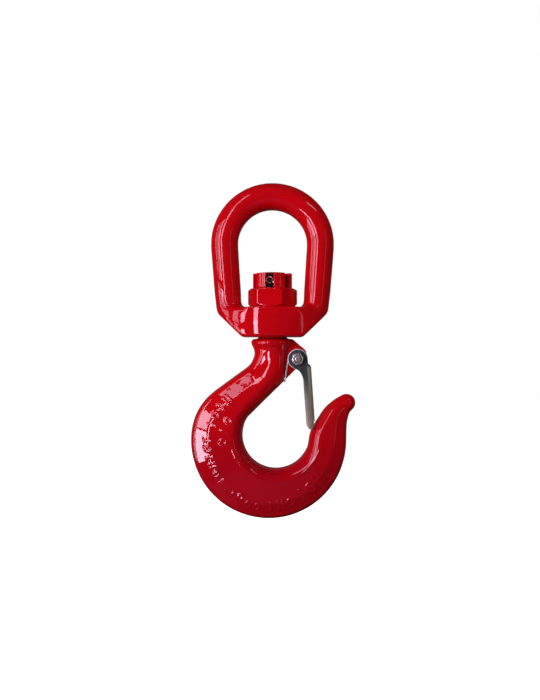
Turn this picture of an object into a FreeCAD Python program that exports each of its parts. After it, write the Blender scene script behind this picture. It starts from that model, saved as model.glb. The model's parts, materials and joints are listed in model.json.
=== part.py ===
"""Swivel hook for lifting gear: a forged bail, a forged hook that turns in it, and a sprung latch.

Millimetres.  The origin is where the load line bears on the bail: the middle of the inner crown.
+Z is up the swivel axis, +X points to the hook's open side, and the hook lies in the XZ plane.
"""
import FreeCAD, Part
import math
import os

import Sketcher

Vector = FreeCAD.Vector
Y_AXIS = Vector(0, 1, 0)

SIZES = {
    # bail: a round rod bent into a bow, on a broad boss
    "bow_radius": 30.65,           # of the rod's centre line
    "rod_diameter": 17.4,
    "leg_lean": 4.0,               # degrees that each leg leans in, going down
    "leg_taper": 0.5,              # degrees that each leg narrows, going down
    "leg_length": 39.2,            # from the end of the bow into the boss
    "boss_top": -62.1,
    "boss_height": 19.0,
    "boss_depth": 38.0,            # across the boss, through the swivel axis
    "foot_centre": 27.5,           # X of the round ends of the boss
    "foot_radius": 8.4,
    "chamfer_top": -65.2,          # where the slanted underside leaves the foot
    "chamfer_bottom_half": 19.2,   # half width of the flat underside
    "swivel_bore_radius": 9.1,
    # shank, collar and neck of the hook
    "shank_radius": 9.0,
    "thread_radius": 8.95,
    "shank_top": -39.9,
    "collar_top": -82.2,
    "collar_radius": 13.7,
    "neck_radius": 11.5,
    "neck_top": -90.4,
    # the hook's front outline
    "bowl_x": 2.2,
    "bowl_z": -143.3,
    "bowl_radius": 21.3,
    "throat_offset": 20.6,         # of the throat's straight edge from the bowl's centre
    "back_x": -2.4,
    "back_z": -147.0,
    "back_radius": 49.6,
    "armpit_x": -24.1,             # centre of the hollow between neck and back
    "armpit_radius": 12.6,
    "tip_radius": 5.6,             # of the last section before the point's round end
    "tip_ball_radius": 5.95,
    # latch ear, cut flat on both sides, with a round boss for the latch to turn against
    "pivot_x": 15.9,
    "pivot_z": -95.0,
    "ear_radius": 5.8,
    "ear_corner_x": 21.3,          # where the ear's slope ends above the pivot
    "ear_corner_z": -89.7,
    "ear_width": 9.4,
    "ear_boss_radius": 5.0,
    "ear_boss_width": 14.6,
    "flat_left": 7.2,
    "flat_top": -87.6,
    "flat_bottom": -112.5,
    # castle nut
    "nut_flats": 27.6,
    "nut_gap": 0.1,                # between the nut and the bail's floor
    "nut_hex_height": 11.9,
    "nut_crown_height": 9.6,
    "nut_crown_radius": 12.5,
    "nut_slot_width": 4.9,
    "nut_turn": -8.6,              # degrees about Z from facing straight to -Y
    # slotted spring pin
    "pin_radius": 2.3,
    "pin_wall": 0.7,
    "pin_length": 24.4,
    "pin_slit": 1.3,
    "pin_z": -45.2,
    # latch
    "latch_head_radius": 5.85,
    "latch_width": 17.8,
    "latch_sheet": 1.4,
    "latch_band": 5.1,
    "latch_bend_radius": 2.4,
    "latch_hole_radius": 2.08,
    "latch_lean": 4.0,             # degrees of the web from upright
    "web_top": -99.2,
    "web_top_x": 24.4,
    "web_bottom": -134.4,          # the web stops here, short of the hook's point
    "latch_free_end": -139.4,
    # latch bolt and its nut
    "bolt_radius": 2.0,
    "bolt_hole_radius": 2.04,
    "bolt_head_flats": 7.0,
    "bolt_head_height": 2.8,
    "bolt_gap": 0.15,              # between the latch's sides and the bolt head or nut
    "bolt_end": 0.9,               # thread that stands out of the nut
    "latch_nut_flats": 7.0,
    "latch_nut_hex_height": 3.3,
    "latch_nut_height": 4.8,
    "latch_nut_collar_radius": 3.1,
    "insert_radius": 2.7,
    # latch spring
    "wire_radius": 0.5,
    "coil_radius": 5.95,
    "coil_pitch": 1.05,
    "bridge_x": 7.8,               # where the wire crosses under the throat's edge
    "bridge_z": -109.3,
}

doc = FreeCAD.newDocument("swivel_hook")
sheet = doc.addObject("Spreadsheet::Sheet", "Sizes")
for row, (alias, number) in enumerate(SIZES.items(), start=1):
    sheet.set(f"A{row}", alias)
    sheet.set(f"B{row}", str(number))
    sheet.setAlias(f"B{row}", alias)
doc.recompute()


def size(alias):
    """A driving dimension, read from the sheet."""
    return float(sheet.get(alias))


# --- helpers ---------------------------------------------------------------------------------


def new_body(name):
    return doc.addObject("PartDesign::Body", name)


def new_sketch(body, name, plane, offset=0.0, turn=0.0):
    """A sketch on one of the body's origin planes, moved along the plane's normal."""
    sketch = body.newObject("Sketcher::SketchObject", name)
    origin_plane = next(f for f in body.Origin.OriginFeatures if f.Role == plane)
    sketch.AttachmentSupport = [(origin_plane, "")]
    sketch.MapMode = "FlatFace"
    rotation = FreeCAD.Rotation(Vector(0, 0, 1), turn)
    sketch.AttachmentOffset = FreeCAD.Placement(Vector(0, 0, offset), rotation)
    return sketch


def bind(feature, **expressions):
    """Bind properties to the sheet: bind(pad, Length="boss_height") or a sum such as "boss_top + 1"."""
    for name, words in expressions.items():
        feature.setExpression(name, in_sheet(words))


def in_sheet(words):
    for alias in sorted(SIZES, key=len, reverse=True):
        words = words.replace(alias, f"@{list(SIZES).index(alias)}@")
    for index, alias in enumerate(SIZES):
        words = words.replace(f"@{index}@", f"Sizes.{alias}")
    return words


def name_constraint(sketch, constraint, name, words):
    """Add a size constraint and bind it to the sheet."""
    index = sketch.addConstraint(constraint)
    sketch.renameConstraint(index, name)
    sketch.setExpression(f"Constraints.{name}", in_sheet(words))


def centred_circle(sketch, name, words, x=None, y=None):
    """A circle whose radius is bound to the sheet; x and y are sheet words, or None for the origin."""
    centre_x = value_of(x) if x else 0.0
    centre_y = value_of(y) if y else 0.0
    radius = value_of(words)
    circle = sketch.addGeometry(Part.Circle(Vector(centre_x, centre_y, 0), Vector(0, 0, 1), radius))
    if x is None and y is None:
        sketch.addConstraint(Sketcher.Constraint("Coincident", circle, 3, -1, 1))
    else:
        across = Sketcher.Constraint("DistanceX", -1, 1, circle, 3, centre_x)
        name_constraint(sketch, across, name + "_x", x or "0")
        up = Sketcher.Constraint("DistanceY", -1, 1, circle, 3, centre_y)
        name_constraint(sketch, up, name + "_y", y or "0")
    name_constraint(sketch, Sketcher.Constraint("Radius", circle, radius), name, words)


def value_of(words):
    """The value of a sheet alias, with an optional minus sign in front."""
    return -size(words[1:]) if words.startswith("-") else size(words)


def closed_outline(sketch, pieces):
    """Lines and arcs that join end to end, given in order round the outline."""
    first = sketch.GeometryCount
    for piece in pieces:
        sketch.addGeometry(piece)
    last = sketch.GeometryCount - 1
    ends = [(e, start_end_points(sketch.Geometry[e])) for e in range(first, last + 1)]
    for here, (index, points) in enumerate(ends):
        other, other_points = ends[(here + 1) % len(ends)]
        pair = min(
            ((a, b) for a in (0, 1) for b in (0, 1)),
            key=lambda p: points[p[0]].distanceToPoint(other_points[p[1]]),
        )
        sketch.addConstraint(Sketcher.Constraint("Coincident", index, pair[0] + 1, other, pair[1] + 1))


def start_end_points(curve):
    return curve.StartPoint, curve.EndPoint


def line(x0, y0, x1, y1):
    return Part.LineSegment(Vector(x0, y0, 0), Vector(x1, y1, 0))


def arc(start, middle, end):
    """An arc of a circle through three points, anticlockwise, as a sketch holds it."""
    a, b, c = (Vector(*point, 0) for point in (start, middle, end))
    if (b - a).cross(c - b).z < 0:
        a, c = c, a
    edge = Part.Arc(a, b, c).toShape()
    return Part.ArcOfCircle(edge.Curve, edge.FirstParameter, edge.LastParameter)


def hexagon(sketch, flats_words, turn=0.0):
    """A regular hexagon about the sketch's origin, its size across flats bound to the sheet."""
    corner = value_of(flats_words) / math.sqrt(3)
    points = []
    for side in range(7):
        angle = math.radians(60 * side + turn)
        points.append((corner * math.cos(angle), corner * math.sin(angle)))
    for side in range(6):
        sketch.addGeometry(line(*points[side], *points[side + 1]))
    for side in range(6):
        sketch.addConstraint(Sketcher.Constraint("Coincident", side, 2, (side + 1) % 6, 1))
    guide = sketch.addGeometry(Part.Circle(Vector(0, 0, 0), Vector(0, 0, 1), corner), True)
    sketch.addConstraint(Sketcher.Constraint("Coincident", guide, 3, -1, 1))
    for side in range(6):
        sketch.addConstraint(Sketcher.Constraint("PointOnObject", side, 1, guide))
    for side in range(5):
        sketch.addConstraint(Sketcher.Constraint("Equal", side, side + 1))
    name_constraint(
        sketch, Sketcher.Constraint("Radius", guide, corner), "corner_radius", f"{flats_words} / sqrt(3)"
    )


def add_feature(body, kind, name, sketch, reverse=False, both_ways=False):
    feature = body.newObject(f"PartDesign::{kind}", name)
    feature.Profile = sketch
    if kind in ("Pad", "Pocket"):
        feature.Reversed = reverse
        feature.Midplane = both_ways
    return feature


def through_pocket(body, name, sketch):
    """A pocket that cuts everything on both sides of its sketch."""
    pocket = add_feature(body, "Pocket", name, sketch, both_ways=True)
    pocket.Type = 1
    return pocket


def turned(body, kind, name, sketch, axis="V_Axis"):
    """A Revolution or Groove about the sketch's own upright axis."""
    feature = body.newObject(f"PartDesign::{kind}", name)
    feature.Profile = sketch
    feature.ReferenceAxis = (sketch, [axis])
    feature.Angle = 360
    return feature


def edges_where(shape, wanted):
    return [f"Edge{i}" for i, edge in enumerate(shape.Edges, start=1) if wanted(edge)]


def rounded(body, name, base, radius, wanted):
    """A fillet on the base feature's edges that pass the test."""
    doc.recompute()
    fillet = body.newObject("PartDesign::Fillet", name)
    fillet.Base = (base, edges_where(base.Shape, wanted))
    fillet.Radius = radius
    return fillet


# --- bail ------------------------------------------------------------------------------------


def make_bail():
    body = new_body("bail")
    rod = size("rod_diameter") / 2
    bow = size("bow_radius")
    centre_z = -bow + rod
    top = size("boss_top")
    bottom = top - size("boss_height")

    # boss, seen from above: round feet joined by two bowed faces
    boss = new_sketch(body, "boss_outline", "XY_Plane", offset=top)
    foot_x, foot_r, half = size("foot_centre"), size("foot_radius"), size("boss_depth") / 2
    # centre (0, c) of a bowed face: it passes (0, -half) and touches both feet from outside
    c = (foot_x ** 2 - (half - foot_r) ** 2) / (2 * (half - foot_r))
    face_r = c + half
    reach = math.hypot(foot_x, c)
    touch_x = face_r * foot_x / reach
    touch_y = c - face_r * c / reach
    closed_outline(boss, [
        arc((-touch_x, touch_y), (0, -half), (touch_x, touch_y)),
        arc((touch_x, touch_y), (foot_x + foot_r, 0), (touch_x, -touch_y)),
        arc((touch_x, -touch_y), (0, half), (-touch_x, -touch_y)),
        arc((-touch_x, -touch_y), (-foot_x - foot_r, 0), (-touch_x, touch_y)),
    ])
    for face, foot in ((0, 1), (2, 3)):
        name_constraint(boss, Sketcher.Constraint("Radius", foot, foot_r), f"foot_{foot}", "foot_radius")
        name_constraint(
            boss,
            Sketcher.Constraint("Radius", face, face_r),
            f"bowed_face_{face}",
            "(foot_centre^2 - (boss_depth / 2 - foot_radius)^2) / (boss_depth - 2 * foot_radius)"
            " + boss_depth / 2",
        )
    pad = add_feature(body, "Pad", "boss", boss, reverse=True)
    bind(pad, Length="boss_height")

    # slanted underside at both ends
    slants = new_sketch(body, "slant_outline", "XZ_Plane")
    foot_end = foot_x + foot_r
    flat_half, high_z = size("chamfer_bottom_half"), size("chamfer_top")
    run = (foot_end - flat_half) / (high_z - bottom)
    beyond = 9.0
    far_x, inner_x = foot_end + beyond, flat_half - beyond * run
    for side in (-1, 1):
        closed_outline(slants, [
            line(side * inner_x, bottom - beyond, side * far_x, high_z + beyond / run),
            line(side * far_x, high_z + beyond / run, side * far_x, bottom - beyond),
            line(side * far_x, bottom - beyond, side * inner_x, bottom - beyond),
        ])
    slant = through_pocket(body, "slants", slants)
    rounded(
        body, "soft_underside", slant, 2.2,
        lambda e: e.BoundBox.ZMax < top - 2 and e.BoundBox.ZLength < size("boss_height") - 1,
    )

    # the bow: a round rod bent a little more than half way round, with a tapering leg at each end
    for side, name in ((1, "right"), (-1, "left")):
        section = new_sketch(body, f"rod_section_{name}", "XY_Plane")
        turn = size("leg_lean") if side > 0 else 180 - size("leg_lean")
        section.AttachmentOffset = FreeCAD.Placement(
            Vector(0, 0, centre_z), FreeCAD.Rotation(Y_AXIS, turn)
        )
        section.addGeometry(Part.Circle(Vector(bow, 0, 0), Vector(0, 0, 1), rod))
        name_constraint(section, Sketcher.Constraint("Radius", 0, rod), "rod_radius", "rod_diameter / 2")
        out = Sketcher.Constraint("DistanceX", -1, 1, 0, 3, bow)
        name_constraint(section, out, "bow_radius", "bow_radius")
        section.addConstraint(Sketcher.Constraint("PointOnObject", 0, 3, -1))
        if side > 0:
            ring = turned(body, "Revolution", "bow", section)
            ring.Reversed = True
            bind(ring, Angle="180 + 2 * leg_lean")
        leg = add_feature(body, "Pad", f"leg_{name}", section, reverse=side > 0)
        leg.TaperAngle = -size("leg_taper")
        bind(leg, Length="leg_length", TaperAngle="-leg_taper")

    bore = new_sketch(body, "bore_outline", "XY_Plane", offset=top)
    centred_circle(bore, "bore_radius", "swivel_bore_radius")
    cut = add_feature(body, "Pocket", "swivel_bore", bore)
    bind(cut, Length="boss_height + 5")
    return body


# --- hook ------------------------------------------------------------------------------------


def half_ellipse(centre, across, along):
    """From centre + across, over centre + along, to centre - across."""
    if across.Length >= along.Length:
        ellipse = Part.Ellipse(centre + across, centre + along, centre)
        return Part.ArcOfEllipse(ellipse, 0, math.pi).toShape()
    ellipse = Part.Ellipse(centre - along, centre + across, centre)
    return Part.ArcOfEllipse(ellipse, math.pi / 2, 3 * math.pi / 2).toShape()


def forged_section(inner, outer, bowl_side, knee, back_side):
    """One closed section: rounded towards the bowl, a knee in each tapering flank, rounded at the back.

    inner and outer are its ends in the XZ plane.  Each of the others is a width across the hook
    and how far in from its own end that width stands; the knee is measured from the outer end.
    """
    along = (outer - inner).normalize()
    near, near_side = inner + along * bowl_side[1], Y_AXIS * (bowl_side[0] / 2)
    bent, bent_side = outer - along * knee[1], Y_AXIS * (knee[0] / 2)
    far, far_side = outer - along * back_side[1], Y_AXIS * (back_side[0] / 2)
    return Part.Wire([
        half_ellipse(near, near_side, along * -bowl_side[1]),
        Part.LineSegment(near - near_side, bent - bent_side).toShape(),
        Part.LineSegment(bent - bent_side, far - far_side).toShape(),
        half_ellipse(far, far_side * -1, along * back_side[1]),
        Part.LineSegment(far + far_side, bent + bent_side).toShape(),
        Part.LineSegment(bent + bent_side, near + near_side).toShape(),
    ])


def polar(centre, degrees, radius):
    angle = math.radians(degrees)
    return centre + Vector(math.cos(angle), 0, math.sin(angle)) * radius


def reach_to_circle(start, degrees, centre, radius):
    """Where a ray from start, at this angle in the XZ plane, leaves a circle."""
    ray = polar(Vector(0, 0, 0), degrees, 1.0)
    gap = start - centre
    along = gap.dot(ray)
    return start + ray * (-along + math.sqrt(along ** 2 - gap.dot(gap) + radius ** 2))


def throat_start():
    """Where the throat's straight edge, which runs up at 45 degrees, leaves the bowl."""
    return polar(Vector(size("bowl_x"), 0, size("bowl_z")), 135, size("throat_offset"))


def hook_stations():
    """The forging's sections in order from the neck to the point, as forged_section takes them."""
    neck = size("neck_radius")
    bowl = Vector(size("bowl_x"), 0, size("bowl_z"))
    back = Vector(size("back_x"), 0, size("back_z"))
    armpit = Vector(size("armpit_x"), 0, size("neck_top"))
    throat = throat_start()
    stations = []

    # round the hollow between the neck and the back
    for fall, *widths in (
        (0, (23.0, 11.2), (22.9, 11.0), (21.2, 7.4)),
        (15, (23.4, 11.0), (22.8, 11.0), (20.4, 6.6)),
        (30, (24.0, 10.4), (22.8, 10.8), (19.4, 5.6)),
        (45, (24.2, 9.6), (22.8, 10.8), (18.4, 4.6)),
    ):
        outer = polar(armpit, -fall, size("armpit_radius"))
        slope = math.tan(math.radians(fall))
        on_neck = neck, armpit.z - (neck - armpit.x) * slope
        on_throat_x = (armpit.z + armpit.x * slope - throat.z + throat.x) / (1 + slope)
        on_throat = on_throat_x, throat.z + on_throat_x - throat.x
        x, z = on_neck if on_neck[0] < on_throat[0] else on_throat
        stations.append((Vector(x, 0, z), outer, *widths))

    # down the arm, square to the throat's edge, out to the straight back
    back_turn = 54
    back_start = polar(armpit, -back_turn, size("armpit_radius"))
    back_way = Vector(-math.sin(math.radians(back_turn)), 0, -math.cos(math.radians(back_turn)))
    corner = stations[-1][0]
    square = Vector(-1, 0, 1).normalize()
    for share, *widths in (
        (0.42, (24.8, 8.8), (23.0, 11.0), (17.8, 3.8)),
        (0.72, (25.2, 8.2), (23.2, 11.0), (17.6, 3.4)),
        (1.0, (25.6, 7.8), (23.4, 11.0), (17.4, 3.2)),
    ):
        inner = corner + (throat - corner) * share
        gap = inner - back_start
        reach = (gap.z * back_way.x - gap.x * back_way.z) / (square.x * back_way.z - square.z * back_way.x)
        stations.append((inner, inner + square * reach, *widths))

    # round the bowl
    for angle, *widths in (
        (154, (26.0, 7.6), (23.4, 11.0), (17.2, 3.0)),
        (172, (26.0, 7.5), (23.6, 11.0), (17.3, 3.0)),
        (190, (26.0, 7.5), (24.1, 11.0), (17.6, 3.0)),
        (210, (26.0, 7.5), (24.2, 11.0), (17.6, 3.0)),
        (230, (26.0, 7.5), (24.2, 11.0), (17.6, 3.0)),
        (250, (26.0, 7.5), (24.2, 11.0), (17.6, 3.0)),
        (270, (26.0, 7.5), (24.0, 11.0), (17.4, 3.0)),
        (290, (25.6, 7.5), (23.6, 11.0), (17.0, 3.0)),
        (310, (25.0, 7.4), (23.0, 10.6), (16.6, 3.0)),
        (328, (24.2, 7.2), (22.2, 10.0), (16.0, 3.0)),
        (344, (23.0, 6.9), (21.0, 9.2), (15.2, 3.0)),
    ):
        inner = polar(bowl, angle, size("bowl_radius"))
        outer = reach_to_circle(bowl, angle, back, size("back_radius") - (1.4 if angle < 160 else 0))
        stations.append((inner, outer, *widths))

    # up the point, which leans outwards and narrows to a round end
    tip = size("tip_radius")
    for (inner_x, inner_z), (outer_x, outer_z), *widths in (
        ((24.1, -141.6), (47.3, -145.6), (21.4, 6.8), (19.6, 8.6), (14.8, 3.2)),
        ((27.2, -135.4), (47.4, -139.8), (19.8, 6.8), (18.4, 8.0), (14.0, 3.4)),
        ((30.9, -129.6), (47.6, -135.9), (18.0, 6.6), (17.0, 7.4), (13.2, 3.6)),
        ((35.2, -124.4), (48.1, -133.2), (15.8, 6.4), (15.2, 6.8), (12.4, 3.8)),
        ((39.9, -120.6), (48.9, -130.4), (13.6, 6.0), (13.4, 6.2), (11.6, 4.0)),
        ((44.5, -118.2), (50.2, -127.8), (2 * tip, 5.4), (2 * tip - 0.05, 5.4), (10.2, 3.4)),
    ):
        stations.append((Vector(inner_x, 0, inner_z), Vector(outer_x, 0, outer_z), *widths))
    return stations


def make_hook():
    stations = hook_stations()
    arm = Part.makeLoft([forged_section(*station) for station in stations], True, False)
    point_inner, point_outer = stations[-1][0], stations[-1][1]
    middle = (point_inner + point_outer) * 0.5
    ball = Part.makeSphere(size("tip_ball_radius"), middle)
    blank = doc.addObject("Part::Feature", "hook_blank")
    blank.Shape = arm.fuse(ball)

    body = new_body("hook")
    body.BaseFeature = blank

    # shank, collar and neck, turned about the swivel axis
    profile = new_sketch(body, "shank_profile", "XZ_Plane")
    shank, thread, neck = size("shank_radius"), size("thread_radius"), size("neck_radius")
    collar, collar_top = size("collar_radius"), size("collar_top")
    floor, shank_top = size("boss_top"), size("shank_top")
    closed_outline(profile, [
        line(0, shank_top, thread - 1.2, shank_top),
        line(thread - 1.2, shank_top, thread, shank_top - 1.2),
        line(thread, shank_top - 1.2, thread, floor),
        line(thread, floor, shank, floor - 0.05),
        line(shank, floor - 0.05, shank, collar_top),
        line(shank, collar_top, collar - 1.5, collar_top),
        arc((collar - 1.5, collar_top), (collar, collar_top - 2.1), (collar - 0.8, collar_top - 4.4)),
        arc((collar - 0.8, collar_top - 4.4), (neck + 0.35, collar_top - 6.9), (neck, collar_top - 9.6)),
        line(neck, collar_top - 9.6, neck - 0.2, collar_top - 13.0),
        line(neck - 0.2, collar_top - 13.0, 0, collar_top - 13.0),
        line(0, collar_top - 13.0, 0, shank_top),
    ])
    turned(body, "Revolution", "shank", profile)

    # the ear: a plate from the neck out round the latch's pivot
    ear = new_sketch(body, "ear_outline", "XZ_Plane")
    px, pz, r = size("pivot_x"), size("pivot_z"), size("ear_radius")
    top_x, top_z = size("ear_corner_x"), size("ear_corner_z")
    start_x, start_z = collar - 0.9, collar_top - 0.1
    # the round end stops where it meets the throat's straight edge, z = x - throat_drop
    edge_point = throat_start()
    throat_drop = edge_point.x - edge_point.z
    inside = (pz - px + throat_drop) / math.sqrt(2)      # how far the pivot is inside that edge
    half_chord = math.sqrt(r ** 2 - inside ** 2)
    low_x = px + (inside - half_chord) / math.sqrt(2)
    low_z = low_x - throat_drop
    root_x = 2.0
    closed_outline(ear, [
        line(root_x, start_z, start_x, start_z),
        line(start_x, start_z, top_x - 0.8, top_z + 0.8),
        arc((top_x - 0.8, top_z + 0.8), (top_x, top_z - 0.2), (px + r, top_z - 1.6)),
        line(px + r, top_z - 1.6, px + r, pz),
        arc((px + r, pz), (px + r * math.sqrt(0.75), pz - r / 2), (low_x, low_z)),
        line(low_x, low_z, root_x, root_x - throat_drop),
        line(root_x, root_x - throat_drop, root_x, start_z),
    ])
    name_constraint(ear, Sketcher.Constraint("Radius", 4, r), "ear_radius", "ear_radius")
    plate = add_feature(body, "Pad", "ear", ear, both_ways=True)
    bind(plate, Length="ear_width")

    # both sides of the ear's root are cut flat, so that the latch and its spring can turn there
    for side, name in ((1, "front"), (-1, "rear")):
        flat = new_sketch(body, f"flat_outline_{name}", "XZ_Plane", offset=side * size("ear_width") / 2)
        left, upper, lower = size("flat_left"), size("flat_top"), size("flat_bottom")
        corner = 3.6
        bend = corner * (1 - math.sqrt(0.5))
        closed_outline(flat, [
            line(left, lower, left, upper - corner),
            arc((left, upper - corner), (left + bend, upper - bend), (left + corner, upper)),
            line(left + corner, upper, left + 30, upper),
            line(left + 30, upper, left + 30, lower),
            line(left + 30, lower, left, lower),
        ])
        cut = add_feature(body, "Pocket", f"flat_{name}", flat, reverse=side > 0)
        cut.Length = 12

    bosses = new_sketch(body, "ear_boss_outline", "XZ_Plane")
    centred_circle(bosses, "boss_radius", "ear_boss_radius", "pivot_x", "pivot_z")
    boss = add_feature(body, "Pad", "ear_boss", bosses, both_ways=True)
    bind(boss, Length="ear_boss_width")

    hole = new_sketch(body, "bolt_hole_outline", "XZ_Plane")
    centred_circle(hole, "hole_radius", "bolt_hole_radius", "pivot_x", "pivot_z")
    through_pocket(body, "bolt_hole", hole)

    pin_hole = new_sketch(body, "pin_hole_outline", "XZ_Plane")
    centred_circle(pin_hole, "hole_radius", "pin_radius", None, "pin_z")
    pin_hole.AttachmentOffset = FreeCAD.Placement(
        Vector(0, 0, 0), FreeCAD.Rotation(Vector(0, 1, 0), size("nut_turn"))
    )
    through_pocket(body, "pin_hole", pin_hole)
    return body


# --- castle nut and its pin --------------------------------------------------------------------


def make_castle_nut():
    body = new_body("castle_nut")
    hexa = new_sketch(body, "hexagon", "XY_Plane")
    hexagon(hexa, "nut_flats", turn=0)
    pad = add_feature(body, "Pad", "hexagon_pad", hexa)
    bind(pad, Length="nut_hex_height")

    crown = new_sketch(body, "crown_outline", "XY_Plane")
    centred_circle(crown, "crown_radius", "nut_crown_radius")
    crown_pad = add_feature(body, "Pad", "crown", crown)
    bind(crown_pad, Length="nut_hex_height + nut_crown_height")

    # the hexagon's corners are turned down at both ends
    corner = size("nut_flats") / math.sqrt(3)
    height = size("nut_hex_height")
    start, beyond = corner - 2.3, corner + 1
    for name, face, out, depth in (("top", height, 1, 1.2), ("bottom", 0, -1, 1.9)):
        bevel = new_sketch(body, f"bevel_{name}_outline", "XZ_Plane")
        bevel_end = face - out * depth * (beyond - start) / (corner - start)
        closed_outline(bevel, [
            line(start, face, beyond, bevel_end),
            line(beyond, bevel_end, beyond, face + out),
            line(beyond, face + out, start, face + out),
            line(start, face + out, start, face),
        ])
        turned(body, "Groove", f"bevel_{name}", bevel)

    bore = new_sketch(body, "bore_outline", "XY_Plane")
    centred_circle(bore, "bore_radius", "shank_radius")
    through_pocket(body, "bore", bore)

    slot = new_sketch(body, "slot_outline", "XY_Plane", offset=size("nut_hex_height"))
    half, reach = size("nut_slot_width") / 2, size("nut_crown_radius") + 1
    closed_outline(slot, [
        line(-half, -reach, half, -reach),
        line(half, -reach, half, -6),
        line(half, -6, -half, -6),
        line(-half, -6, -half, -reach),
    ])
    name_constraint(
        slot, Sketcher.Constraint("DistanceX", 0, 1, 0, 2, 2 * half), "slot_width", "nut_slot_width"
    )
    cut = add_feature(body, "Pocket", "slot", slot, reverse=True)
    bind(cut, Length="nut_crown_height + 1")
    slots = body.newObject("PartDesign::PolarPattern", "slots")
    slots.Originals = [cut]
    slots.Axis = (slot, ["N_Axis"])
    slots.Angle = 360
    slots.Occurrences = 6
    body.Tip = slots

    doc.recompute()
    body.Placement = FreeCAD.Placement(
        Vector(0, 0, size("boss_top") + size("nut_gap")),
        FreeCAD.Rotation(Vector(0, 0, 1), size("nut_turn")),
    )
    return body


def make_roll_pin():
    """A rolled strip with a slit along it, driven through the nut's slots and the shank."""
    body = new_body("roll_pin")
    ring = new_sketch(body, "rolled_outline", "XZ_Plane")
    outer = size("pin_radius")
    inner = outer - size("pin_wall")
    slit = size("pin_slit") / 2
    middle = math.radians(-40)

    def rim(radius, side):
        angle = middle + side * math.asin(slit / radius)
        return radius * math.cos(angle), radius * math.sin(angle)

    def far(radius):
        return -radius * math.cos(middle), -radius * math.sin(middle)

    closed_outline(ring, [
        arc(rim(outer, 1), far(outer), rim(outer, -1)),
        line(*rim(outer, -1), *rim(inner, -1)),
        arc(rim(inner, -1), far(inner), rim(inner, 1)),
        line(*rim(inner, 1), *rim(outer, 1)),
    ])
    name_constraint(ring, Sketcher.Constraint("Radius", 0, outer), "outer_radius", "pin_radius")
    name_constraint(ring, Sketcher.Constraint("Radius", 2, inner), "inner_radius", "pin_radius - pin_wall")
    strip = add_feature(body, "Pad", "rolled_strip", ring, both_ways=True)
    bind(strip, Length="pin_length")
    doc.recompute()
    body.Placement = FreeCAD.Placement(
        Vector(0, 0, size("pin_z")), FreeCAD.Rotation(Vector(0, 0, 1), size("nut_turn"))
    )
    return body


# --- latch and its fastener ----------------------------------------------------------------------


def make_latch():
    """A pressed channel: two round cheeks on the pivot, and a web that faces out of the throat."""
    body = new_body("latch")
    px, pz, r = size("pivot_x"), size("pivot_z"), size("latch_head_radius")
    band, sheet_metal = size("latch_band"), size("latch_sheet")
    web_top, web_bottom, free_end = size("web_top"), size("web_bottom"), size("latch_free_end")

    def outer_edge(z):
        return size("web_top_x") + (web_top - z) * math.tan(math.radians(size("latch_lean")))

    head_end = math.radians(238)
    head_x, head_z = px + r * math.cos(head_end), pz + r * math.sin(head_end)
    neck_top = head_x + 4.3, head_z - 2.8
    neck_z = -110.5
    neck_end = outer_edge(neck_z) - band, neck_z
    end_x = outer_edge(free_end)
    cheek = new_sketch(body, "cheek_outline", "XZ_Plane")
    closed_outline(cheek, [
        arc((head_x, head_z), (px, pz + r), (px + r, pz)),
        line(px + r, pz, px + r + 0.8, pz - 3.0),
        line(px + r + 0.8, pz - 3.0, outer_edge(web_top), web_top),
        line(outer_edge(web_top), web_top, end_x, free_end),
        line(end_x, free_end, end_x - band, free_end),
        line(end_x - band, free_end, *neck_end),
        arc(neck_end, (neck_end[0] - 0.9, neck_z + 4.6), neck_top),
        line(*neck_top, head_x, head_z),
    ])
    pad = add_feature(body, "Pad", "block", cheek, both_ways=True)
    bind(pad, Length="latch_width")

    # the channel's two long outer corners are bent round
    half_width = size("latch_width") / 2
    rounded(
        body, "bends", pad, size("latch_bend_radius"),
        lambda e: (
            abs(abs(e.BoundBox.Center.y) - half_width) < 0.01
            and e.BoundBox.XMin > outer_edge(web_top) - 0.1
            and e.BoundBox.ZLength > 20
        ),
    )

    # everything inside the sheet is open, and the web stops short of the cheeks at the free end
    inside = new_sketch(body, "inside_outline", "XZ_Plane")
    clear = 13.0
    upper, lower, edge_z = pz + clear, free_end - 2, web_top - 0.4
    web_start_x, web_end_x = outer_edge(edge_z) - sheet_metal, outer_edge(web_bottom) - sheet_metal
    closed_outline(inside, [
        line(px - clear, upper, px + clear, upper),
        line(px + clear, upper, px + clear, edge_z),
        line(px + clear, edge_z, web_start_x, edge_z),
        line(web_start_x, edge_z, web_end_x, web_bottom),
        line(web_end_x, web_bottom, px + clear, web_bottom),
        line(px + clear, web_bottom, px + clear, lower),
        line(px + clear, lower, px - clear, lower),
        line(px - clear, lower, px - clear, upper),
    ])
    hollow = add_feature(body, "Pocket", "channel", inside, both_ways=True)
    bind(hollow, Length="latch_width - 2 * latch_sheet")

    # the cheeks' free ends are round
    corners = new_sketch(body, "corner_outline", "XZ_Plane")
    middle_x = end_x - band / 2
    for side, start_z, bulge_x, bulge_z in (
        (1, web_bottom - 0.4, 0.75, 0.95),
        (-1, free_end + 2.0, 0.7, 0.6),
    ):
        edge_x = outer_edge(start_z) - (band if side < 0 else 0)
        closed_outline(corners, [
            arc((middle_x, free_end), (edge_x - side * bulge_x, free_end + bulge_z), (edge_x, start_z)),
            line(edge_x, start_z, edge_x + side * 3, start_z),
            line(edge_x + side * 3, start_z, edge_x + side * 3, free_end - 1),
            line(edge_x + side * 3, free_end - 1, middle_x, free_end - 1),
            line(middle_x, free_end - 1, middle_x, free_end),
        ])
    through_pocket(body, "round_ends", corners)

    hole = new_sketch(body, "pivot_hole_outline", "XZ_Plane")
    centred_circle(hole, "hole_radius", "latch_hole_radius", "pivot_x", "pivot_z")
    through_pocket(body, "pivot_hole", hole)
    return body


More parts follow.
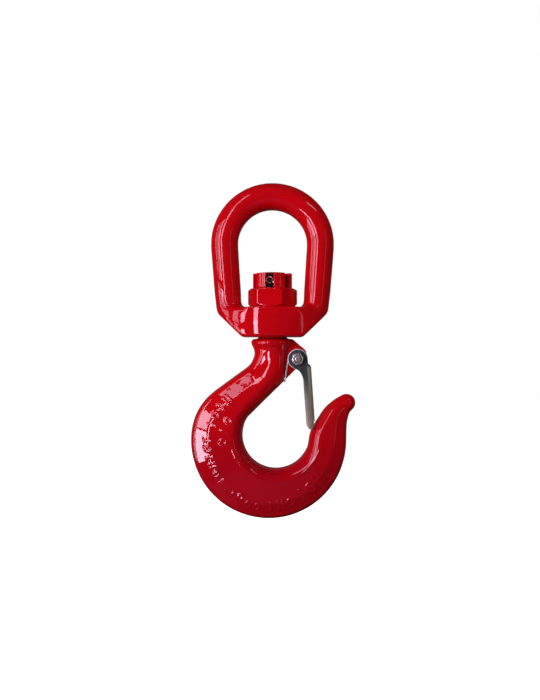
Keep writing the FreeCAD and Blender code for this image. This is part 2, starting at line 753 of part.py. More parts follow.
def pivot_placement():
    """Sub-parts of the pivot are made upright and laid over, so that their +Z points to -Y."""
    return FreeCAD.Placement(
        Vector(size("pivot_x"), 0, size("pivot_z")), FreeCAD.Rotation(Vector(1, 0, 0), 90)
    )


def make_latch_bolt():
    body = new_body("latch_bolt")
    seat = size("latch_width") / 2 + size("bolt_gap")
    head = new_sketch(body, "head_outline", "XY_Plane", offset=-seat)
    hexagon(head, "bolt_head_flats", turn=12)
    pad = add_feature(body, "Pad", "head", head, reverse=True)
    bind(pad, Length="bolt_head_height")
    shank = new_sketch(body, "shank_outline", "XY_Plane", offset=-seat - 0.5)
    centred_circle(shank, "shank_radius", "bolt_radius")
    rod = add_feature(body, "Pad", "shank", shank)
    bind(rod, Length="latch_width + 2 * bolt_gap + latch_nut_height + bolt_end + 0.5")
    end = seat + size("latch_nut_height") + size("bolt_end")
    doc.recompute()
    bevel = body.newObject("PartDesign::Chamfer", "thread_end")
    bevel.Base = (rod, edges_where(rod.Shape, lambda e: abs(e.BoundBox.ZMin - end) < 0.01))
    bevel.Size = 0.4
    doc.recompute()
    body.Placement = pivot_placement()
    return body


def make_latch_nut():
    body = new_body("latch_nut")
    seat = size("latch_width") / 2 + size("bolt_gap")
    hexa = new_sketch(body, "hexagon", "XY_Plane", offset=seat)
    hexagon(hexa, "latch_nut_flats", turn=12)
    pad = add_feature(body, "Pad", "hexagon_pad", hexa)
    bind(pad, Length="latch_nut_hex_height")
    collar = new_sketch(body, "collar_outline", "XY_Plane", offset=seat)
    centred_circle(collar, "collar_radius", "latch_nut_collar_radius")
    collar_pad = add_feature(body, "Pad", "collar", collar)
    bind(collar_pad, Length="latch_nut_height")
    bore = new_sketch(body, "bore_outline", "XY_Plane")
    centred_circle(bore, "bore_radius", "bolt_radius")
    through_pocket(body, "bore", bore)
    seat_floor = seat + size("latch_nut_hex_height")
    seat_cut = new_sketch(body, "insert_seat_outline", "XY_Plane", offset=seat_floor)
    centred_circle(seat_cut, "seat_radius", "insert_radius")
    cut = add_feature(body, "Pocket", "insert_seat", seat_cut, reverse=True)
    cut.Length = 3
    doc.recompute()
    body.Placement = pivot_placement()
    return body


def make_latch_nut_insert():
    body = new_body("latch_nut_insert")
    seat = size("latch_width") / 2 + size("bolt_gap") + size("latch_nut_hex_height")
    ring = new_sketch(body, "ring_outline", "XY_Plane", offset=seat)
    centred_circle(ring, "outer", "insert_radius")
    centred_circle(ring, "inner", "bolt_radius")
    pad = add_feature(body, "Pad", "ring", ring)
    bind(pad, Length="latch_nut_height - latch_nut_hex_height - 0.2")
    doc.recompute()
    body.Placement = pivot_placement()
    return body


# --- latch spring ----------------------------------------------------------------------------------


def make_latch_spring():
    """One wire: an arm on the latch, a coil, a leg, a bridge across the throat, and the same again."""
    wire, coil, pitch = size("wire_radius"), size("coil_radius"), size("coil_pitch")
    pivot = Vector(size("pivot_x"), 0, size("pivot_z"))
    bridge = Vector(size("bridge_x"), 0, size("bridge_z"))
    inner_y = size("ear_width") / 2 + wire + 0.08

    # the leg touches the coil on its left; the coil winds over the top and ends on its right
    to_bridge = bridge - pivot
    leg_angle = 360 + math.degrees(
        math.atan2(to_bridge.z, to_bridge.x) - math.acos(coil / to_bridge.Length)
    )
    turns = 1 + leg_angle / 360
    start_way = Vector(0, 2 * math.pi * coil, pitch)
    disc = Part.Wire(Part.Circle(Vector(coil, 0, 0), start_way, wire).toShape())
    helix = Part.makeHelix(pitch, pitch * turns, coil, 0, True)
    winding = Part.Wire(helix).makePipeShell([disc], True, True)
    winding.rotate(Vector(0, 0, 0), Vector(1, 0, 0), 90)
    winding.rotate(Vector(0, 0, 0), Y_AXIS, -leg_angle)
    winding.translate(pivot - Y_AXIS * inner_y)

    # the straight ends start a little inside the coil and are drawn a trace thinner
    overlap, thinner = 0.8, wire - 0.05
    leg_top = polar(pivot, leg_angle, coil) - Y_AXIS * inner_y
    leg_end = bridge - Y_AXIS * inner_y
    leg_way = (leg_end - leg_top).normalize()
    arm_top = pivot + Vector(coil, -inner_y - pitch * turns, overlap)
    half = [
        winding,
        rod_between(leg_top - leg_way * overlap, leg_end, thinner),
        rod_between(arm_top, arm_top + Vector(1.2, 0, -13.0), thinner),
    ]
    other_half = [piece.mirror(Vector(0, 0, 0), Y_AXIS) for piece in half]
    reach = Y_AXIS * (inner_y + wire + 0.1)
    spring = doc.addObject("Part::Feature", "latch_spring")
    spring.Shape = rod_between(bridge - reach, bridge + reach, wire).fuse(half + other_half)
    return spring


def rod_between(start, end, radius):
    way = end - start
    return Part.makeCylinder(radius, way.Length, start, way)


# --- build, check and write --------------------------------------------------------------------------


def check_states():
    for thing in doc.Objects:
        if "Invalid" in thing.State or "Error" in thing.State:
            raise RuntimeError(f"{thing.Label} failed: {thing.State}")


def main():
    os.makedirs("parts", exist_ok=True)
    makers = (
        make_bail, make_hook, make_castle_nut, make_roll_pin, make_latch,
        make_latch_bolt, make_latch_nut, make_latch_nut_insert, make_latch_spring,
    )
    sub_parts = [make() for make in makers]
    doc.recompute()
    check_states()
    for part in sub_parts:
        shape = part.Shape
        if shape.isNull() or not shape.isValid() or len(shape.Solids) != 1:
            raise RuntimeError(f"{part.Label} is not one valid solid: {len(shape.Solids)}")
        box = shape.BoundBox
        print(
            f"{part.Label:18} {shape.Volume:10.1f} mm3   X {box.XMin:7.2f} {box.XMax:7.2f}"
            f"   Y {box.YMin:7.2f} {box.YMax:7.2f}   Z {box.ZMin:8.2f} {box.ZMax:8.2f}"
        )
        shape.exportStep(os.path.join("parts", f"{part.Label}.step"))


main()
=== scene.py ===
"""Swivel hook: forged bail and hook in thick red enamel, with a sprung sheet-steel latch."""
import json
import math

import bpy
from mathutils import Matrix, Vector, noise
from mathutils.bvhtree import BVHTree


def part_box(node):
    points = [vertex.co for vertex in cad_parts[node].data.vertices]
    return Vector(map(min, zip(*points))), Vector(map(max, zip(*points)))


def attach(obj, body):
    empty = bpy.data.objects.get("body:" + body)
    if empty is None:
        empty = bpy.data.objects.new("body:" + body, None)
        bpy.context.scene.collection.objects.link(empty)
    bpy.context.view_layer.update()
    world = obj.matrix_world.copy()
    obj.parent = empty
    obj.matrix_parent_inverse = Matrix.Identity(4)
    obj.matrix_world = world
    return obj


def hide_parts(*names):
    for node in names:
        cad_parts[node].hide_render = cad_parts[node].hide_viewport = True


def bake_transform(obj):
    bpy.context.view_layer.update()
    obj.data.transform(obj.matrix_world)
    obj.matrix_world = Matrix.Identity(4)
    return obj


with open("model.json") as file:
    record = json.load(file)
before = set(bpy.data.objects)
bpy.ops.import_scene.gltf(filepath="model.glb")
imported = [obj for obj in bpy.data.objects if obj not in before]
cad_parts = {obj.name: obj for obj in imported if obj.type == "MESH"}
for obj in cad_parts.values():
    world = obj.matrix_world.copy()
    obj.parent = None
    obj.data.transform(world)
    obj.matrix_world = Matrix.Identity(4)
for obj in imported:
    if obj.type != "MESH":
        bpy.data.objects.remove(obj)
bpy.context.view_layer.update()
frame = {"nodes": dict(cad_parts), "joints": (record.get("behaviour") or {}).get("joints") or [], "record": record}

MM = 0.001
scene = bpy.context.scene
nodes = frame["nodes"]


def node_box(name):
    low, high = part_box(name)
    return Vector(low), Vector(high)


hook_low, hook_high = node_box("hook")
bail_high = node_box("bail")[1]
nut_low, nut_high = node_box("castle_nut")
latch_low, latch_high = node_box("latch")
hinge = next(joint for joint in frame["joints"] if joint["name"] == "latch_hinge")
pivot = Vector(hinge["pos_m"])

# the latch's web: how far its top corner is out from and below the pivot, and its lean
WEB_OUT, WEB_DROP = 8.5 * MM, 4.2 * MM
WEB_SLOPE = math.tan(math.radians(4.0))


def web_edge(z):
    """X of the latch's slanted web at this height."""
    return pivot.x + WEB_OUT + (pivot.z - WEB_DROP - z) * WEB_SLOPE


# --- mesh helpers --------------------------------------------------------------------------------


def new_object(name, data):
    thing = bpy.data.objects.new(name, data)
    scene.collection.objects.link(thing)
    return thing


def baked(thing):
    """The object's mesh with its modifiers applied."""
    graph = bpy.context.evaluated_depsgraph_get()
    mesh = bpy.data.meshes.new_from_object(thing.evaluated_get(graph))
    thing.modifiers.clear()
    old = thing.data
    thing.data = mesh
    if old.users == 0:
        bpy.data.meshes.remove(old)
    return thing


def remeshed(thing, voxel, rounds):
    """Melt the mesh to even faces of the voxel's size, then let its edges soften."""
    remesh = thing.modifiers.new("even", "REMESH")
    remesh.mode = "VOXEL"
    remesh.voxel_size = voxel
    soften = thing.modifiers.new("soften", "SMOOTH")
    soften.factor = 0.5
    soften.iterations = rounds
    baked(thing)
    for polygon in thing.data.polygons:
        polygon.use_smooth = True
    return thing


def copy_of(node, name):
    mesh = nodes[node].data.copy()
    mesh.materials.clear()
    return new_object(name, mesh)


def uneven(thing, height, spacing):
    """Push the surface in and out a little, as a forging's skin is."""
    ripple, ripple_rate = 0.4, 2.7
    mesh = thing.data
    normals = [vertex.normal.copy() for vertex in mesh.vertices]
    for vertex, normal in zip(mesh.vertices, normals):
        wave = noise.noise(vertex.co / spacing)
        wave += ripple * noise.noise(vertex.co / spacing * ripple_rate)
        vertex.co += normal * (height * wave)


def join_mesh(thing, others):
    with bpy.context.temp_override(active_object=thing, selected_editable_objects=[thing, *others]):
        bpy.ops.object.join()


def tube(name, points, radius, resolution):
    """A round rod along the points."""
    curve = bpy.data.curves.new(name, "CURVE")
    curve.dimensions = "3D"
    curve.bevel_depth = radius
    curve.bevel_resolution = resolution
    curve.use_fill_caps = True
    spline = curve.splines.new("POLY")
    spline.points.add(len(points) - 1)
    for point, co in zip(spline.points, points):
        point.co = (*co, 1)
    thing = new_object(name, curve)
    graph = bpy.context.evaluated_depsgraph_get()
    mesh = bpy.data.meshes.new_from_object(thing.evaluated_get(graph))
    bpy.data.objects.remove(thing)
    solid = new_object(name, mesh)
    for polygon in mesh.polygons:
        polygon.use_smooth = True
    return solid


# --- materials -----------------------------------------------------------------------------------


class Nodes:
    """A material's node tree, with short ways to add and join nodes."""

    def __init__(self, name):
        self.material = bpy.data.materials.new(name)
        self.material.use_nodes = True
        self.tree = self.material.node_tree
        self.shader = self.tree.nodes["Principled BSDF"]
        self.place = self.add("ShaderNodeTexCoord").outputs["Object"]

    def add(self, kind, **values):
        node = self.tree.nodes.new(kind)
        for key, value in values.items():
            if key in node.inputs:
                node.inputs[key].default_value = value
            else:
                setattr(node, key, value)
        return node

    def join(self, output, socket):
        self.tree.links.new(output, socket)

    def axis(self, letter):
        """One coordinate of the place on the object."""
        axes = self.add("ShaderNodeSeparateXYZ")
        self.join(self.place, axes.inputs[0])
        return axes.outputs[letter]

    def noise(self, scale, detail=3.0, roughness=0.5, stretch=None):
        node = self.add("ShaderNodeTexNoise", Scale=scale, Detail=detail, Roughness=roughness)
        place = self.place
        if stretch:
            mapping = self.add("ShaderNodeMapping")
            mapping.inputs["Scale"].default_value = stretch
            self.join(place, mapping.inputs["Vector"])
            place = mapping.outputs["Vector"]
        self.join(place, node.inputs["Vector"])
        return node.outputs["Fac"]

    def ramp(self, value, low, high, low_to=0.0, high_to=1.0):
        node = self.add("ShaderNodeMapRange")
        for socket, number in zip(node.inputs[1:5], (low, high, low_to, high_to)):
            socket.default_value = number
        self.join(value, node.inputs[0])
        return node.outputs[0]

    def mix(self, share, one, two):
        node = self.add("ShaderNodeMix", data_type="RGBA")
        self.join(share, node.inputs["Factor"])
        for socket, colour in ((node.inputs[6], one), (node.inputs[7], two)):
            if isinstance(colour, tuple):
                socket.default_value = (*colour, 1)
            else:
                self.join(colour, socket)
        return node.outputs[2]

    def bump(self, height, strength, distance, after=None):
        node = self.add("ShaderNodeBump", Strength=strength, Distance=distance)
        self.join(height, node.inputs["Height"])
        if after:
            self.join(after, node.inputs["Normal"])
        return node.outputs["Normal"]

    def set(self, **values):
        for key, value in values.items():
            self.shader.inputs[key.replace("_", " ")].default_value = value


BLACK = (0.0, 0.0, 0.0)  # also 0 where a mask is mixed


def red_enamel(name, shaded_bare_thread):
    """Thick gloss paint: deep red, a trace of orange peel, and darker in broad clouds.

    The red is darker low on the hook: painted shade, as less light reaches the hook's bottom.  The hook's
    thread, inside the nut, is left without enamel and coloured near black, painted shade for the nut's slots, up
    to its red end face.
    """
    m = Nodes(name)
    height = m.axis("Z")
    clouds = m.ramp(m.noise(38.0, 3.0), 0.32, 0.7)
    red = m.mix(clouds, (0.58, 0.0008, 0.0060), (0.70, 0.0010, 0.0048))
    # painted shade: the red darkens towards the hook's bottom, which gets less light
    shade_starts_above, shade_full_below = hook_low.z + 76 * MM, hook_low.z + 32 * MM
    painted_shade_low = m.ramp(height, shade_starts_above, shade_full_below)
    red = m.mix(painted_shade_low, red, (0.46, 0.0008, 0.0085))
    m.set(Coat_Weight=1.0, Coat_Roughness=0.025, Coat_IOR=1.5, Specular_IOR_Level=0.0)
    if shaded_bare_thread:
        # painted shade: the thread inside the nut is left without enamel and coloured near black, for the shade in
        # the nut's slots; its end face stays red
        thread_z = nut_low.z + 1 * MM
        bare_and_shaded = m.ramp(height, thread_z, thread_z + 1 * MM)
        end_face = m.ramp(height, hook_high.z - 1.0 * MM, hook_high.z - 0.6 * MM)
        bare_and_shaded = m.mix(end_face, bare_and_shaded, BLACK)
        dark_mottle = m.ramp(m.noise(1400.0, 4.0), 0.35, 0.65)
        painted_slot_shade = m.mix(dark_mottle, (0.006, 0.005, 0.005), (0.028, 0.022, 0.022))
        red = m.mix(bare_and_shaded, red, painted_slot_shade)
        m.join(m.ramp(bare_and_shaded, 0, 1, 1.0, 0.04), m.shader.inputs["Coat Weight"])
    m.join(red, m.shader.inputs["Base Color"])
    m.join(m.ramp(m.noise(900.0, 2.0), 0.3, 0.7, 0.35, 0.5), m.shader.inputs["Roughness"])
    peel = m.bump(m.noise(260.0, 1.5), 0.06, 0.0004)
    sag = m.bump(m.noise(75.0, 1.0), 0.08, 0.0010, after=peel)
    m.join(sag, m.shader.inputs["Normal"])
    m.join(sag, m.shader.inputs["Coat Normal"])
    return m.material


def shaded_worn_pin():
    """Red paint coloured dark as painted shade for the nut's slot, rubbed through to brighter steel here and
    there.
    """
    m = Nodes("shaded_worn_pin")
    worn = m.ramp(m.noise(700.0, 4.0), 0.46, 0.60)
    # painted shade: the pin's red is far darker than the enamel's, for the shade in the nut's slot
    m.join(m.mix(worn, (0.12, 0.012, 0.012), (0.42, 0.16, 0.15)), m.shader.inputs["Base Color"])
    m.join(worn, m.shader.inputs["Metallic"])
    m.join(m.ramp(m.noise(1500.0), 0.3, 0.7, 0.25, 0.4), m.shader.inputs["Roughness"])
    m.join(m.bump(m.noise(1200.0), 0.15, 0.0002), m.shader.inputs["Normal"])
    return m.material


def rolled_sheet():
    """Dull zinc on rolled strip: fine lines along the latch, with painted shade, darker and bluer, round the
    pivot.
    """
    m = Nodes("rolled_sheet")
    lines = m.noise(420.0, 4.0, 0.6, stretch=(3.0, 3.0, 0.06))
    patches = m.ramp(m.noise(160.0, 4.0), 0.35, 0.7)
    share = m.ramp(lines, 0.3, 0.7)
    warm = m.mix(share, (0.30, 0.31, 0.22), (0.54, 0.56, 0.41))
    painted_shade_zinc = m.mix(share, (0.035, 0.052, 0.048), (0.085, 0.11, 0.10))
    height = m.axis("Z")
    # painted shade: darker, bluer zinc round the pivot, fading out below it
    shade_near_pivot = m.ramp(height, pivot.z - 34 * MM, pivot.z - 12 * MM)
    # painted light: the bend, along the slanted web, faces the light, so it is kept clear of the painted shade
    # from the web's top down
    slant = m.add("ShaderNodeMath", operation="MULTIPLY_ADD")
    m.join(height, slant.inputs[0])
    slant.inputs[1].default_value = WEB_SLOPE
    m.join(m.axis("X"), slant.inputs[2])
    edge = web_edge(0.0)
    lit_bend_band = m.ramp(slant.outputs[0], edge - 2.8 * MM, edge - 2.1 * MM)
    below_top = m.ramp(height, pivot.z - WEB_DROP, pivot.z - 5.0 * MM)
    bend = m.mix(below_top, BLACK, lit_bend_band)
    shade = m.mix(bend, shade_near_pivot, BLACK)
    worn = m.mix(patches, warm, (0.34, 0.35, 0.25))
    m.join(m.mix(shade, worn, painted_shade_zinc), m.shader.inputs["Base Color"])
    m.join(m.ramp(lines, 0.3, 0.7, 0.30, 0.46), m.shader.inputs["Roughness"])
    m.join(m.bump(lines, 0.25, 0.00012), m.shader.inputs["Normal"])
    m.set(Metallic=0.3, Specular_IOR_Level=0.15)
    return m.material


def zinc_fastener():
    """Bright zinc plate with a fine grain."""
    m = Nodes("zinc_fastener")
    grain = m.noise(2500.0, 3.0)
    zinc = m.mix(m.ramp(grain, 0.3, 0.7), (0.44, 0.50, 0.44), (0.78, 0.84, 0.77))
    m.join(zinc, m.shader.inputs["Base Color"])
    m.join(m.ramp(m.noise(600.0, 3.0), 0.3, 0.7, 0.18, 0.34), m.shader.inputs["Roughness"])
    m.join(m.bump(grain, 0.2, 0.0001), m.shader.inputs["Normal"])
    m.set(Metallic=0.8)
    return m.material


def spring_wire():
    """Bright drawn wire with a faint grain."""
    m = Nodes("spring_wire")
    drawn = m.noise(1800.0, 2.0)
    steel = m.mix(m.ramp(drawn, 0.3, 0.7), (0.80, 0.87, 0.80), (0.92, 0.98, 0.92))
    m.join(steel, m.shader.inputs["Base Color"])
    m.join(m.ramp(drawn, 0.3, 0.7, 0.2, 0.34), m.shader.inputs["Roughness"])
    m.set(Metallic=0.3)
    return m.material


def lock_nylon():
    """Natural nylon, slightly mottled."""
    m = Nodes("lock_nylon")
    mottle = m.noise(900.0, 3.0)
    grey = m.mix(m.ramp(mottle, 0.3, 0.7), (0.16, 0.17, 0.15), (0.24, 0.25, 0.22))
    m.join(grey, m.shader.inputs["Base Color"])
    m.join(m.bump(mottle, 0.2, 0.0001), m.shader.inputs["Normal"])
    m.set(Roughness=0.42, Subsurface_Weight=0.15, Subsurface_Scale=0.001)
    return m.material


def studio_floor():
    """White sheet that glows, so that it shows as plain white."""
    m = Nodes("studio_floor")
    speckle = m.ramp(m.noise(6.0, 3.0), 0.3, 0.7)
    white = m.mix(speckle, (0.86, 0.86, 0.86), (0.90, 0.90, 0.90))
    m.join(white, m.shader.inputs["Base Color"])
    m.set(Roughness=0.8, Emission_Color=(1.0, 1.0, 1.0, 1.0), Emission_Strength=1.0)
    return m.material


ENAMEL = red_enamel("red_enamel", shaded_bare_thread=False)
HOOK_ENAMEL = red_enamel("hook_enamel", shaded_bare_thread=True)
SHEET = rolled_sheet()
ZINC = zinc_fastener()
WIRE = spring_wire()


def finish_piece(thing, material, body, replaced):
    """Give a detailed piece its material, its body and the CAD node it stands for."""
    thing.data.materials.clear()
    thing.data.materials.append(material)
    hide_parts(replaced)
    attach(thing, body)


def refinish(node, material):
    """A CAD node that stays, with a better material."""
    data = nodes[node].data
    data.materials.clear()
    data.materials.append(material)


# --- forged bail, hook and nut -------------------------------------------------------------------


def soften_where(thing, share, rounds):
    """Smooth the mesh more where share(point) is near 1."""
    group = thing.vertex_groups.new(name="soft")
    for vertex in thing.data.vertices:
        weight = share(vertex.co)
        if weight > 0:
            group.add([vertex.index], weight, "REPLACE")
    soften = thing.modifiers.new("soften_more", "SMOOTH")
    soften.factor = 0.6
    soften.iterations = rounds
    soften.vertex_group = "soft"
    baked(thing)
    thing.vertex_groups.clear()


# height and spacing of the unevenness
FORGED_SKIN = 0.06 * MM, 15 * MM
MACHINED_SKIN = 0.03 * MM, 6 * MM


def clamped(number):
    return min(max(number, 0.0), 1.0)


def make_bail():
    bail = remeshed(copy_of("bail", "forged_bail"), voxel=0.55 * MM, rounds=14)
    floor_z, nut_reach = nut_low.z, nut_high.x
    root_height, root_width, start_height = 9 * MM, 3 * MM, 7 * MM
    bow_centre_z = bail_high.z - bail_high.x

    def leg_root(point):
        """Near 1 where the legs grow out of the boss."""
        height = abs(point.z - floor_z) / root_height
        inward = (abs(point.x) - nut_reach) / root_width
        return max(0.0, 1 - height) * clamped(inward)

    def leg_start(point):
        """Near 1 where the bow runs into its legs."""
        return max(0.0, 1 - abs(point.z - bow_centre_z) / start_height)

    soften_where(bail, leg_root, rounds=160)
    soften_where(bail, leg_start, rounds=25)
    uneven(bail, *FORGED_SKIN)
    finish_piece(bail, ENAMEL, "bail", "bail")


def surface_finder(thing):
    """A function that gives the point of the thing's front face at x, z."""
    mesh = thing.data
    tree = BVHTree.FromPolygons([v.co for v in mesh.vertices], [p.vertices for p in mesh.polygons])
    start_y, inward = -50 * MM, Vector((0, 1, 0))

    def front(x, z):
        return tree.ray_cast(Vector((x, start_y, z)), inward)[0]

    return front


def ring_stroke(half_width, half_height):
    """A closed loop about the middle of a mark's box."""
    turns = [math.radians(angle) for angle in range(0, 361, 40)]
    return [(half_width * math.cos(t), 0.5 + half_height * math.sin(t)) for t in turns]


# each mark is drawn in a box one unit high: strokes of points (across, up)
BAR = [[(0.0, 0.0), (0.0, 1.0)]]
SHORT_BAR = [[(0.0, 0.1), (0.0, 0.55)]]
DOUBLE_BAR = [[(-0.2, 0.0), (-0.2, 1.0)], [(0.25, 0.0), (0.25, 1.0)]]
RING = [ring_stroke(0.32, 0.4)]
DOT = [[(0.0, 0.0), (0.0, 0.08)]]


def forging_marks(hook):
    """Raised generic marks that follow the arc of the hook's front face."""
    front = surface_finder(hook)
    outer_radius = 49.6 * MM
    centre = Vector((hook_low.x + outer_radius, 0, hook_low.z + outer_radius))
    stroke, sunk = 0.62 * MM, 0.12 * MM
    # radius, start in degrees, height and spacing of each row, in mm, and its marks
    rows = (
        (37.0, 134, 5.6, 6.2, (DOUBLE_BAR, BAR, RING, BAR)),
        (28.5, 152, 5.2, 7.0, (RING, BAR, RING)),
        (38.0, 179, 4.8, 5.2, (BAR, RING, BAR, DOUBLE_BAR)),
        (38.5, 212, 4.6, 5.2, (RING, BAR, DOT, SHORT_BAR, RING)),
        (41.5, 252, 5.2, 5.6, (RING, RING)),
        (40.5, 272, 6.6, 6.4, (BAR, DOUBLE_BAR, RING)),
        (39.0, 302, 8.0, 7.4, (BAR, RING, DOUBLE_BAR)),
    )
    made = []
    for radius, start, height, spacing, marks in rows:
        for index, strokes in enumerate(marks):
            angle = math.radians(start + index * math.degrees(spacing / radius))
            out = Vector((math.cos(angle), 0, math.sin(angle)))
            along = Vector((-out.z, 0, out.x))
            middle = centre + out * radius * MM
            for points in strokes:
                line = []
                for across, up in points:
                    spot = middle + along * (across * height * MM)
                    spot -= out * ((up - 0.5) * height * MM)
                    line.append(front(spot.x, spot.z) + Vector((0, sunk, 0)))
                made.append(tube("mark", line, stroke, resolution=2))
    return made


def shoulder_crest(hook):
    """A fine raised line round the bowl, where its rounded inside runs out into the flank."""
    front = surface_finder(hook)
    mount = next(m for m in frame["record"]["mounts"] if m["name"] == "hook_bowl")
    bowl_radius, shoulder = 21.3 * MM, 7.3 * MM
    bowl = Vector(mount["pos_m"]) + Vector((0, 0, bowl_radius))
    radius, sunk = 0.5 * MM, 0.2 * MM
    wander, wander_angle = 0.25 * MM, 7
    points = []
    for angle in range(196, 346, 3):
        turn = math.radians(angle)
        off = wander * noise.noise(Vector((angle / wander_angle, 0, 0)))
        reach = bowl_radius + shoulder + off
        spot = bowl + Vector((math.cos(turn), 0, math.sin(turn))) * reach
        points.append(front(spot.x, spot.z) + Vector((0, sunk, 0)))
    return tube("crest", points, radius, resolution=2)


def make_hook():
    hook = remeshed(copy_of("hook", "forged_hook"), voxel=0.6 * MM, rounds=12)
    point_left, point_bottom = hook_high.x - 13 * MM, pivot.z - 40 * MM
    blend_across, blend_up = 4 * MM, 5 * MM

    def at_point(spot):
        """Near 1 at the hook's point, where its last section meets the round end."""
        right = (spot.x - point_left) / blend_across
        upper = (spot.z - point_bottom) / blend_up
        return clamped(right) * clamped(upper)

    soften_where(hook, at_point, rounds=30)
    uneven(hook, *FORGED_SKIN)
    join_mesh(hook, forging_marks(hook) + [shoulder_crest(hook)])
    remeshed(hook, voxel=0.42 * MM, rounds=3)
    finish_piece(hook, HOOK_ENAMEL, "hook", "hook")


def make_castle_nut():
    nut = remeshed(copy_of("castle_nut", "slotted_nut"), voxel=0.3 * MM, rounds=7)
    uneven(nut, *MACHINED_SKIN)
    finish_piece(nut, ENAMEL, "hook", "castle_nut")


# --- latch, its spring and the fasteners ---------------------------------------------------------


def make_latch():
    """The sheet's bends open out towards the free end: its section goes from a channel to a bow."""
    latch = remeshed(copy_of("latch", "throat_latch"), voxel=0.26 * MM, rounds=3)
    top, bottom = pivot.z - 4.5 * MM, latch_low.z
    half = (latch_high.y - latch_low.y) / 2
    tight, open_end, opening_rate = 2.4 * MM, 3.6 * MM, 1.3
    tiny = 1e-6
    for vertex in latch.data.vertices:
        x, y, z = vertex.co
        share = clamped((top - z) / (top - bottom))
        bend = tight + (open_end - tight) * min(1.0, share * opening_rate)
        deep, wide = web_edge(z) - x, half - abs(y)
        if share <= 0 or deep >= bend or wide >= bend:
            continue
        away = Vector((bend - deep, bend - wide))
        if away.length < tiny:
            continue
        # how far the tight bend's outside is from the open bend's centre, this way
        way = away.normalized()
        corner = bend - tight
        outside = min(bend / max(way.x, tiny), bend / max(way.y, tiny))
        hit = way * outside
        if hit.x > corner and hit.y > corner:
            along = way.x * corner + way.y * corner
            to_arc = along * along - 2 * corner * corner + tight * tight
            outside = along + math.sqrt(max(to_arc, 0.0))
        away *= bend / outside
        vertex.co.x = web_edge(z) - (bend - away.x)
        vertex.co.y = math.copysign(half - (bend - away.y), y)
    finish_piece(latch, SHEET, "latch", "latch")


def make_spring():
    """Two coils side by side, joined by a bridge that hooks under the throat's edge.

    One half is laid out from the middle of the bridge: a corner, a leg, a coil and a bent arm
    that lies on the latch.  The other half mirrors it.
    """
    wire, coil, pitch = 0.5 * MM, 5.95 * MM, 1.05 * MM
    inner, corner = 5.28 * MM, 1.3 * MM
    spring_low = node_box("latch_spring")[0]
    bridge = Vector((spring_low.x + wire, 0, spring_low.z + wire))
    to_bridge = bridge - pivot
    leg_angle = math.atan2(to_bridge.z, to_bridge.x) - math.acos(coil / to_bridge.length)
    turns = 2 + leg_angle / math.tau
    leg_top = pivot + Vector((math.cos(leg_angle), 0, math.sin(leg_angle))) * coil
    leg_way = (bridge - leg_top).normalized()
    points = []
    corner_steps, coil_steps = 5, 90
    for step in range(corner_steps + 1):
        turn = step / corner_steps * math.pi / 2
        across = inner - corner + corner * math.sin(turn)
        points.append(bridge - leg_way * (corner * (1 - math.cos(turn))) + Vector((0, across, 0)))
    for step in range(coil_steps + 1):
        share = step / coil_steps
        angle = leg_angle - share * turns * math.tau
        spot = pivot + Vector((math.cos(angle), 0, math.sin(angle))) * coil
        points.append(spot + Vector((0, inner + share * turns * pitch, 0)))
    for arm in (Vector((0.4, 0, -6.0)) * MM, Vector((0.8, 0, -6.0)) * MM):
        points.append(points[-1] + arm)
    other = [Vector((p.x, -p.y, p.z)) for p in reversed(points)]
    spring = tube("torsion_spring", other + points, wire, resolution=4)
    spring.data.materials.append(WIRE)
    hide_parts("latch_spring")
    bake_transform(spring)


def make_fasteners():
    """The latch's bolt and nut with its nylon ring, and the castle nut's spring pin."""
    nut = remeshed(copy_of("latch_nut", "lock_nut"), voxel=0.11 * MM, rounds=3)
    finish_piece(nut, ZINC, "hook", "latch_nut")
    bolt = remeshed(copy_of("latch_bolt", "pivot_bolt"), voxel=0.13 * MM, rounds=3)
    finish_piece(bolt, ZINC, "hook", "latch_bolt")
    refinish("latch_nut_insert", lock_nylon())
    pin = remeshed(copy_of("roll_pin", "spring_pin"), voxel=0.12 * MM, rounds=4)
    finish_piece(pin, shaded_worn_pin(), "hook", "roll_pin")


# --- studio --------------------------------------------------------------------------------------


WHITE = (1.0, 1.0, 1.0)
ROSE = (1.0, 0.74, 0.95)
VIOLET = (0.75, 0.35, 1.0)


def aim(thing, target):
    way = Vector(target) - thing.location
    thing.rotation_euler = way.to_track_quat("-Z", "Y").to_euler()


def panel(name, azimuth, elevation, distance, width, height, strength, target, tint=WHITE):
    """A soft light at this bearing from the target, aimed back at it.

    Azimuth 0 is behind the camera and minus is left.  The strength is for each square metre.
    """
    light = bpy.data.lights.new(name, "AREA")
    light.shape = "RECTANGLE"
    light.size, light.size_y = width, height
    light.energy = strength * width * height
    light.color = tint
    lamp = new_object(name, light)
    a, e = math.radians(azimuth), math.radians(elevation)
    way = Vector((math.sin(a) * math.cos(e), -math.cos(a) * math.cos(e), math.sin(e)))
    lamp.location = target + way * distance
    aim(lamp, target)
    return lamp


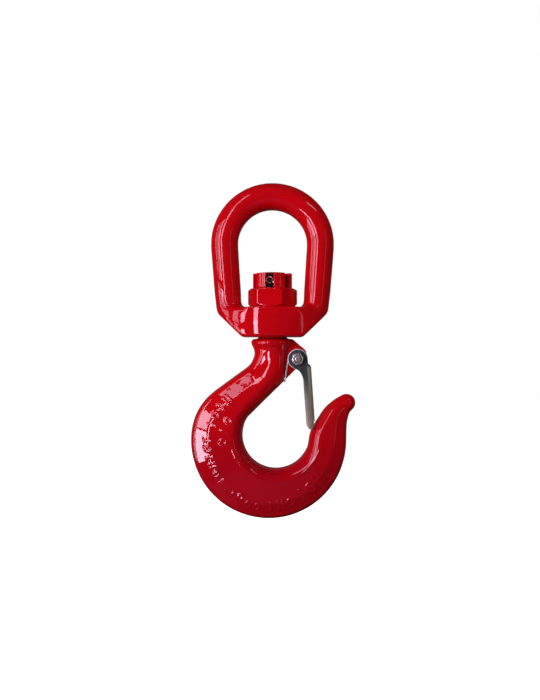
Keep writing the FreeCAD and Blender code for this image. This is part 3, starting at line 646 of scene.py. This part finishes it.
def make_lights():
    middle = Vector((0, 0, (bail_high.z + hook_low.z) / 2))
    far = 1.6

    def pane(name, azimuth, width, low, high, strength):
        """A pane of the window between two elevations."""
        height = 2 * far * math.tan(math.radians((high - low) / 2))
        return panel(name, azimuth, (low + high) / 2, far, width, height, strength, middle, ROSE)

    # a window of four tall sashes, crossed by bars; the sky in it is brightest low down
    # name, azimuth, width, share of the brightness, lower bar in degrees
    for name, azimuth, width, share, bar in (
        ("sash_side", -77, 0.30, 0.35, 1.4),
        ("sash_far", -58.5, 0.26, 0.45, 1.4),
        ("sash_middle", -46, 0.19, 1.2, 1.2),
        ("sash_near", -25.2, 0.19, 1.2, 0.0),
    ):
        pane(name + "_low", azimuth, width, -19.6, 2.4 - bar, 46 * share)
        pane(name + "_mid", azimuth, width, 2.4, 19.2, 28 * share)
        pane(name + "_high", azimuth, width, 20.4, 27.6, 22 * share)
    # seen only as a reflection, along the hook's point and arm
    pane("skylight", -30, 0.24, 29, 50, 14).visible_diffuse = False
    # name, azimuth, elevation, distance, width, height, strength
    panel("strip_right", 46, 6, far, 0.08, 0.7, 3, middle)
    panel("ceiling", 42, 40, far, 0.4, 0.1, 16, middle)
    panel("low_glow", -8, -33, far, 1.9, 1.1, 0.36, middle, VIOLET)

    # the key and fill make no reflection; the key is close to the castle nut, so the hook's
    # bottom is darker
    at_nut = Vector((0, 0, -60 * MM))
    key = panel("key", 4, 32, 0.45, 0.3, 0.25, 3.6, at_nut)
    fill = panel("fill_right", 72, 12, 0.8, 0.5, 0.6, 2.8, middle)
    for lamp in (key, fill):
        lamp.visible_glossy = False
        lamp.visible_camera = False
    panel("backdrop", 180, 4, 1.3, 2.0, 1.6, 0.15, middle).visible_camera = False
    for name, azimuth in (("back_left", -140), ("back_right", 140)):
        panel(name, azimuth, 30, 1.7, 0.8, 0.8, 8, middle).visible_glossy = False


def make_world():
    """The camera sees plain white; everything else feels only a little light from all round."""
    world = bpy.data.worlds.new("studio")
    world.use_nodes = True
    tree = world.node_tree
    tree.nodes.clear()

    def background(strength):
        node = tree.nodes.new("ShaderNodeBackground")
        node.inputs["Color"].default_value = (*WHITE, 1)
        node.inputs["Strength"].default_value = strength
        return node

    seen, felt = background(1.0), background(0.03)
    rays = tree.nodes.new("ShaderNodeLightPath")
    choose = tree.nodes.new("ShaderNodeMixShader")
    out = tree.nodes.new("ShaderNodeOutputWorld")
    tree.links.new(rays.outputs["Is Camera Ray"], choose.inputs[0])
    tree.links.new(felt.outputs[0], choose.inputs[1])
    tree.links.new(seen.outputs[0], choose.inputs[2])
    tree.links.new(choose.outputs[0], out.inputs["Surface"])
    scene.world = world


def make_floor():
    """A white sheet well below the hook, which hangs clear of it."""
    reach, drop = 4.0, 0.14
    z = hook_low.z - drop
    sides = ((-1, -1), (1, -1), (1, 1), (-1, 1))
    mesh = bpy.data.meshes.new("floor")
    mesh.from_pydata([(x * reach, y * reach, z) for x, y in sides], [], [(0, 1, 2, 3)])
    floor = new_object("floor", mesh)
    floor.data.materials.append(studio_floor())
    floor.visible_glossy = False
    floor.visible_diffuse = False


def make_camera():
    """Level, square to the hook, and a little left of the swivel axis."""
    distance, view_height = 0.6, 0.448
    left, drop = 1.6 * MM, 89.3 * MM
    lens = bpy.data.cameras.new("camera")
    lens.sensor_width = 36
    lens.lens = lens.sensor_width * distance / view_height
    lens.clip_start = 0.01
    camera = new_object("camera", lens)
    camera.location = (-left, -distance, -drop)
    camera.rotation_euler = (math.radians(90), 0, 0)
    scene.camera = camera
    scene.view_settings.view_transform = "Standard"


make_bail()
make_hook()
make_castle_nut()
make_latch()
make_spring()
make_fasteners()
make_lights()
make_world()
make_floor()
make_camera()
